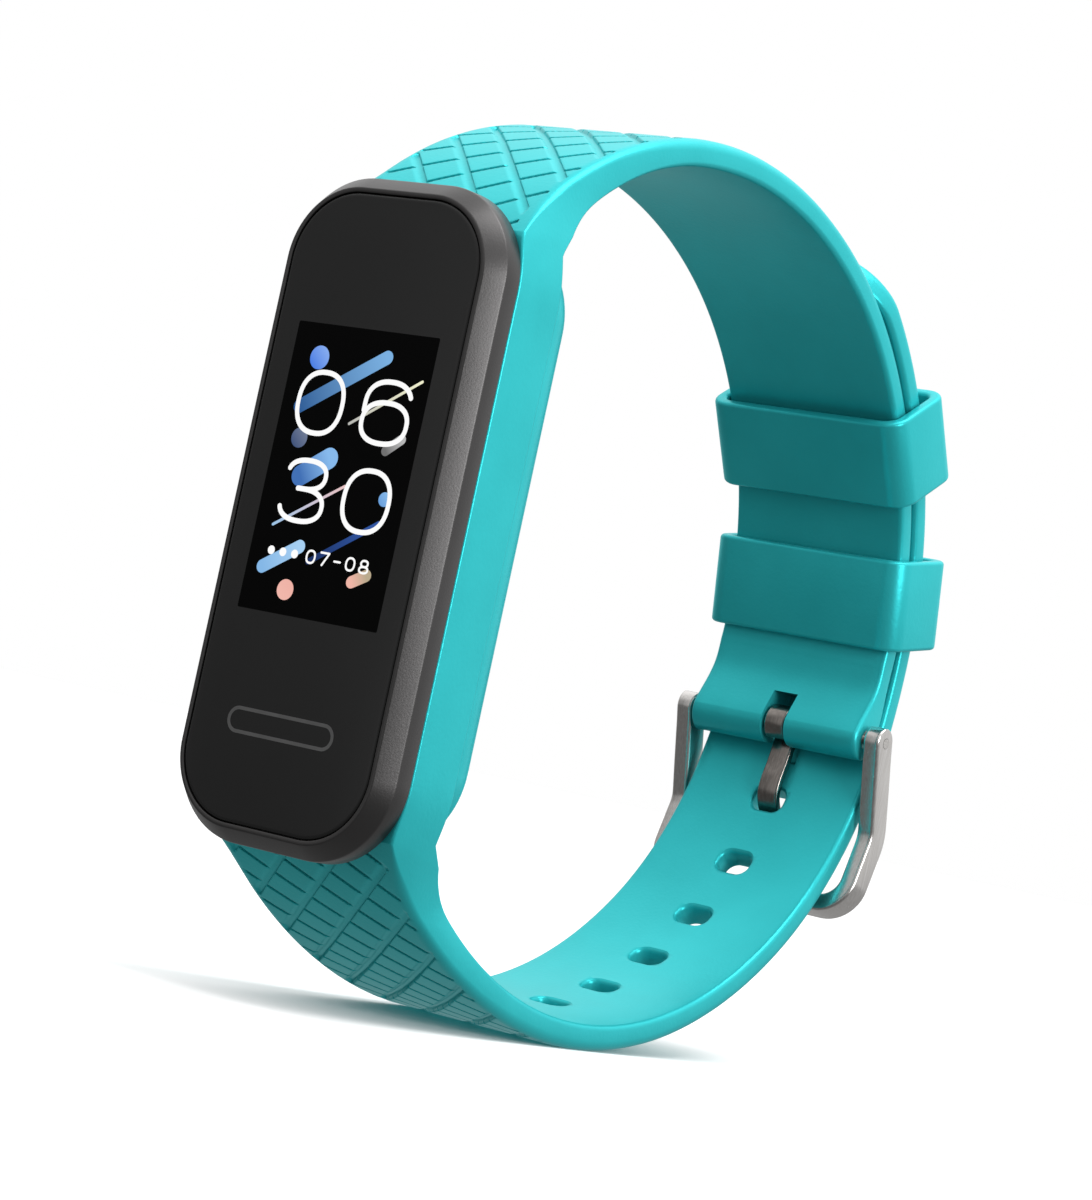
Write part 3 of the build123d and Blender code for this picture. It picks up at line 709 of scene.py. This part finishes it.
def flat_plate(name, spots, near, far):
    """A thin plate facing out of the display, from an outline of (x, z) points."""
    rings = [[(x, glass_y + depth, z) for x, z in spots] for depth in (near, far)]
    return loft(name, rings)


screen_spots = outline(screen_half_x, screen_half_z, screen_corner, 3) + (0.0, screen_z)
screen = flat_plate("screen_field", screen_spots, -0.008, seat)
screen_black = grained("glass_screen_black", "#020202", "#010101", 8.0, 2.0, (0.25, 0.3), 0.0004,
                       IOR=1.45, Specular_IOR_Level=0.05)
dress(screen, screen_black, "pod", "lcd")

# The touch key's outline, a printed grey line.
key_half_x, key_half_z, key_line = 4.72, 0.93, 0.25
key_x, key_z, key_near = -0.2, -15.0, -0.006


def pill(half_x, half_z, inset, x=0.0, z=0.0):
    """The outline of a pill shape, drawn in by an inset."""
    return outline(half_x - inset, half_z - inset, half_z - inset, 14) + (x, z)


key_rings = []
for inset, depth in ((0.0, seat), (0.0, key_near), (key_line, key_near), (key_line, seat)):
    spots = pill(key_half_x, key_half_z, inset, key_x, key_z)
    key_rings.append([(x, glass_y + depth, z) for x, z in spots])
key_mark = loft("touch_key_outline", key_rings, closed=True)
key_ink = grained("ink_grey_screen_printed", "#565656", "#4E4E4E", 1.5, 0.3, (0.4, 0.5), 0.001)
dress(key_mark, key_ink, "pod", "glass")

# ---------------------------------------------------------------- screen picture
# The lit picture on the display: the time in thin round-ended numerals over loose dots and bars, and a
# row of dots with the day's numbers below. Each is lit from behind, so it glows evenly.
def lit(name, first, second, start, end):
    """A lit patch of the display; its colour runs from first to second between two (x, z) places in mm."""
    made, tree, shader = new_material(name, Base_Color=linear("#000000"), Roughness=0.5,
                                      Specular_IOR_Level=0.1, Emission_Strength=1.0)
    place = add(tree, "ShaderNodeTexCoord").outputs["Object"]
    parts = add(tree, "ShaderNodeSeparateXYZ", links={"Vector": place}).outputs
    reach = np.array(end) - np.array(start)
    slope = reach / (reach @ reach) / MM
    by_x = add(tree, "ShaderNodeMath", {1: slope[0]}, {0: parts["X"]}, operation="MULTIPLY")
    by_z = add(tree, "ShaderNodeMath", {1: slope[1], 2: -(np.array(start) @ slope) * MM},
               {0: parts["Z"]}, operation="MULTIPLY_ADD")
    total = add(tree, "ShaderNodeMath", links={0: by_x.outputs[0], 1: by_z.outputs[0]}, operation="ADD")
    ramp = add(tree, "ShaderNodeValToRGB", links={"Fac": total.outputs[0]})
    ramp.color_ramp.elements[0].color = linear(first)
    ramp.color_ramp.elements[1].color = linear(second)
    tree.links.new(ramp.outputs["Color"], shader.inputs["Emission Color"])
    return made


def stroke(name, points, width, near, closed=False):
    """A flat line of even width with round ends, facing out of the display."""
    points = np.asarray(points, float) + (0.0, screen_z)
    if closed:
        steps = np.roll(points, -1, axis=0) - np.roll(points, 1, axis=0)
        halves = np.full(len(points), width / 2)
    else:
        turns = np.linspace(0.1, pi / 2, 7)[:-1]
        head, foot = points[0] - points[1], points[-1] - points[-2]
        head, foot = head / np.linalg.norm(head), foot / np.linalg.norm(foot)
        before = [points[0] + head * width / 2 * cos(turn) for turn in turns]
        after = [points[-1] + foot * width / 2 * cos(turn) for turn in turns[::-1]]
        ends = width / 2 * np.sin(turns)
        halves = np.concatenate([ends, np.full(len(points), width / 2), ends[::-1]])
        points = np.vstack([before, points, after])
        steps = np.gradient(points, axis=0)
    sideways = np.column_stack([-steps[:, 1], steps[:, 0]]) / np.linalg.norm(steps, axis=1)[:, None]
    left, right = points + sideways * halves[:, None], points - sideways * halves[:, None]
    rings = [[(a[0], glass_y + near, a[1]), (b[0], glass_y + near, b[1]),
              (b[0], glass_y + mark_seat, b[1]), (a[0], glass_y + mark_seat, a[1])]
             for a, b in zip(left, right)]
    return loft(name, rings, closed=closed)


# each bar's name, ends from the screen's middle, width and two colours
bars = [
    ("bar_blue_long", (-4.6, 4.2), (2.1, 8.3), 0.98, "#2C5C96", "#79AFE0"),
    ("bar_cream", (0.05, 3.5), (5.5, 7.0), 0.2, "#B9B9B4", "#F2F1CF"),
    ("bar_grey", (3.65, 2.05), (4.8, 2.95), 0.72, "#6F6F6F", "#B8B8B8"),
    ("bar_blue_short", (-3.2, -0.5), (-1.0, 0.95), 1.5, "#3F6FB5", "#86B9EC"),
    ("bar_fine", (-4.65, -4.1), (0.85, -0.75), 0.2, "#9CC4E6", "#E8C3C3"),
    ("bar_navy", (-0.9, -6.2), (4.4, -2.9), 0.42, "#142B5C", "#2F57A6"),
    ("bar_sky", (-4.8, -7.05), (-1.9, -5.3), 0.95, "#84B7E6", "#A6CFF2"),
    ("bar_peach", (3.15, -7.05), (4.3, -6.45), 0.85, "#EFB5A6", "#B9A98C"),
]
# each dot's name, middle, radius and two colours
dots = [
    ("dot_blue", (-3.75, 7.7), 0.83, "#2F6FE0", "#8EB4F2"),
    ("dot_slate", (-4.0, 2.05), 0.7, "#2A4473", "#77829A"),
    ("dot_sky", (4.45, -1.2), 0.5, "#5E96D6", "#8FC1EE"),
    ("dot_peach", (-2.35, -8.35), 0.72, "#F2B8AC", "#EDB0A4"),
]
# the layers stand this far proud of the glass, so that later marks lie over earlier ones
bar_near, dot_near, mark_near = -0.012, -0.0155, -0.018
layer_step, stroke_step = 0.0003, 0.0004
for number, (name, start, end, width, first, second) in enumerate(bars):
    start_z, end_z = (start[0], start[1] + screen_z), (end[0], end[1] + screen_z)
    bar = stroke(name, resampled([start, end], 6), width, bar_near - layer_step * number)
    dress(bar, lit("display_light_" + name, first, second, start_z, end_z), "pod", "lcd")
for number, (name, (x, z), radius, first, second) in enumerate(dots):
    spots = pill(radius, radius * full_round, 0.0, x, z + screen_z)
    dot = flat_plate(name, spots, dot_near - layer_step * number, mark_seat)
    low, high = (x - radius, z - radius + screen_z), (x + radius, z + radius + screen_z)
    dress(dot, lit("display_light_" + name, first, second, low, high), "pod", "lcd")


bowl_square = 2.35      # the power of a numeral's loop: 2 is an ellipse, and more is squarer


def bowl(middle, half_x, half_z, first, last, steps):
    """Part of a round-cornered loop, between two angles in degrees."""
    turns = np.radians(np.linspace(first, last, steps))
    power = 2 / bowl_square
    x = middle[0] + half_x * np.sign(np.cos(turns)) * np.abs(np.cos(turns)) ** power
    z = middle[1] + half_z * np.sign(np.sin(turns)) * np.abs(np.sin(turns)) ** power
    return np.column_stack([x, z])


def numeral(digit, middle, half_x, half_z):
    """The strokes of a numeral in a box, each its middle line's points and whether it closes on itself."""
    x, z = middle
    if digit == "0":
        return [(bowl(middle, half_x, half_z, 0, 354, 60), True)]
    if digit == "6":
        back_line = bowl((x, z + 0.25 * half_z), half_x, 0.75 * half_z, 22, 180, 26)
        round_part = bowl((x, z - 0.34 * half_z), half_x, 0.66 * half_z, 180, 534, 60)
        stem = np.vstack([back_line[-1:], (x - half_x, z)])
        return [(back_line, False), (stem, False), (round_part, True)]
    if digit == "3":
        upper = bowl((x, z + 0.53 * half_z), 0.9 * half_x, 0.47 * half_z, 165, -90, 30)
        lower = bowl((x, z - 0.47 * half_z), half_x, 0.53 * half_z, 90, -168, 34)
        return [(np.vstack([upper, (x - 0.3 * half_x, z + 0.06 * half_z)]), False), (lower, False)]
    if digit == "7":
        top, foot = z + half_z, (x - 0.35 * half_x, z - half_z)
        return [(resampled([(x - half_x, top), (x + half_x, top)], 5), False),
                (resampled([(x + half_x, top), foot], 6), False)]
    if digit == "8":
        return [(bowl((x, z + 0.5 * half_z), 0.8 * half_x, 0.5 * half_z, 0, 350, 36), True),
                (bowl((x, z - 0.5 * half_z), half_x, 0.5 * half_z, 0, 350, 36), True)]
    return [(resampled([(x - 0.7 * half_x, z), (x + 0.7 * half_x, z)], 4), False)]


white_light = lit("display_light_white", "#FFFFFF", "#FAFAFA", (0, -10), (0, 14))
# each numeral's digit, middle, half width and half height
time_digits = [("0", (-2.83, 4.62), 1.95, 2.12), ("6", (3.0, 4.58), 1.95, 2.12),
               ("3", (-2.6, -1.5), 1.85, 2.1), ("0", (2.93, -1.54), 1.95, 2.1)]
day_digits = [("0", (-0.75, -5.85), 0.36, 0.42), ("7", (0.45, -5.85), 0.36, 0.42),
              ("-", (1.6, -5.88), 0.36, 0.42), ("0", (2.75, -5.88), 0.36, 0.42),
              ("8", (3.95, -5.9), 0.36, 0.42)]
for group, digits, width in (("time", time_digits, 0.36), ("day", day_digits, 0.15)):
    for number, (digit, middle, half_x, half_z) in enumerate(digits):
        for part, (points, closes) in enumerate(numeral(digit, middle, half_x, half_z)):
            name = "{}_numeral_{}_{}".format(group, number + 1, part + 1)
            mark = stroke(name, points, width, mark_near - stroke_step * part, closes)
            dress(mark, white_light, "pod", "lcd")

# three plain dots before the day's numbers
day_dot_x, day_dot_z, day_dot_pitch, day_dot_radius = -4.3, -5.85, 1.05, 0.3
for number in range(3):
    x = day_dot_x + day_dot_pitch * number
    spots = pill(day_dot_radius, day_dot_radius - 0.0001, 0.0, x, day_dot_z + screen_z)
    day_dot = flat_plate("day_dot_{}".format(number + 1), spots, mark_near, mark_seat)
    dress(day_dot, white_light, "pod", "lcd")

# ---------------------------------------------------------------- floor, light and camera
# A pale floor under the band that throws no light back up at it, a light tent that is bright behind
# the object and dim in front and below, a large soft light above on the right and a weak one in front.
floor_half, floor_z = 3.0, cad_box[0].z
floor_corners = [(floor_half * x, floor_half * y, floor_z) for x, y in ((-1, -1), (1, -1), (1, 1), (-1, 1))]
floor_mesh = bpy.data.meshes.new("floor")
floor_mesh.from_pydata(floor_corners, [], [(0, 1, 2, 3)])
floor = bpy.data.objects.new("floor", floor_mesh)
bpy.context.scene.collection.objects.link(floor)
floor_paint = grained("paint_white_matt", "#FBFBFB", "#F7F7F7", 60.0, 2.0, (0.8, 0.9), 0.01)
floor_mesh.materials.append(floor_paint)
floor.visible_diffuse = False
floor.visible_glossy = False

world = bpy.data.worlds.new("light_tent")
world.use_nodes = True
sky = world.node_tree
back_light = sky.nodes["Background"]
way_in = add(sky, "ShaderNodeTexCoord").outputs["Generated"]
way_parts = add(sky, "ShaderNodeSeparateXYZ", links={"Vector": way_in}).outputs
# brightness from front to back, from the sides up to the top, and from below up to the horizon
tent_back, tent_top, tent_low = [
    add(sky, "ShaderNodeMapRange", {"From Min": first, "From Max": last, "To Min": dim, "To Max": bright},
        {"Value": way_parts[axis]}, interpolation_type="SMOOTHSTEP").outputs["Result"]
    for axis, first, last, dim, bright in (
        ("Y", -0.5, 0.6, 0.42, 1.0), ("Z", 0.25, 0.8, 0.0, 0.75), ("Z", -0.12, 0.0, 0.48, 1.0))]
tent_sides = add(sky, "ShaderNodeMath", links={0: tent_back, 1: tent_low}, operation="MULTIPLY")
tent = add(sky, "ShaderNodeMath", links={0: tent_sides.outputs["Value"], 1: tent_top}, operation="ADD")
sky.links.new(tent.outputs["Value"], back_light.inputs["Strength"])
back_light.inputs["Color"].default_value = (1.0, 1.0, 1.0, 1.0)
bpy.context.scene.world = world


def soft_light(name, place, size, watts):
    """A square area light at a place in metres, aimed at the middle of the band."""
    lamp = bpy.data.lights.new(name, "AREA")
    lamp.energy = watts
    lamp.size = size
    made = bpy.data.objects.new(name, lamp)
    made.location = place
    made.rotation_euler = (-Vector(place)).to_track_quat("-Z", "Y").to_euler()
    bpy.context.scene.collection.objects.link(made)


soft_light("key_above", (0.12, 0.02, 0.35), 0.22, 0.8)
soft_light("side_right", (0.40, -0.09, 0.08), 0.18, 1.0)
soft_light("fill_front", (-0.10, -0.45, 0.05), 0.35, 0.12)

camera_data = bpy.data.cameras.new("camera")
camera_data.lens = 108.21
camera_data.sensor_width = 36.0
camera_data.clip_start = 0.01
camera = bpy.data.objects.new("camera", camera_data)
camera_place = Vector((0.15587, -0.22412, -0.01399))
turn, rise, roll = radians(36.03), radians(-2.64), radians(12.13)
level_right = Vector((cos(turn), sin(turn), 0))
towards = Vector((sin(turn) * cos(rise), -cos(turn) * cos(rise), sin(rise)))
level_up = towards.cross(level_right)
camera_right = level_right * cos(roll) + level_up * sin(roll)
camera_up = level_up * cos(roll) - level_right * sin(roll)
camera_axes = Matrix((camera_right, camera_up, towards)).transposed()
camera.matrix_world = Matrix.Translation(camera_place) @ camera_axes.to_4x4()
bpy.context.scene.collection.objects.link(camera)
bpy.context.scene.camera = camera
bpy.context.scene.view_settings.view_transform = "Standard"
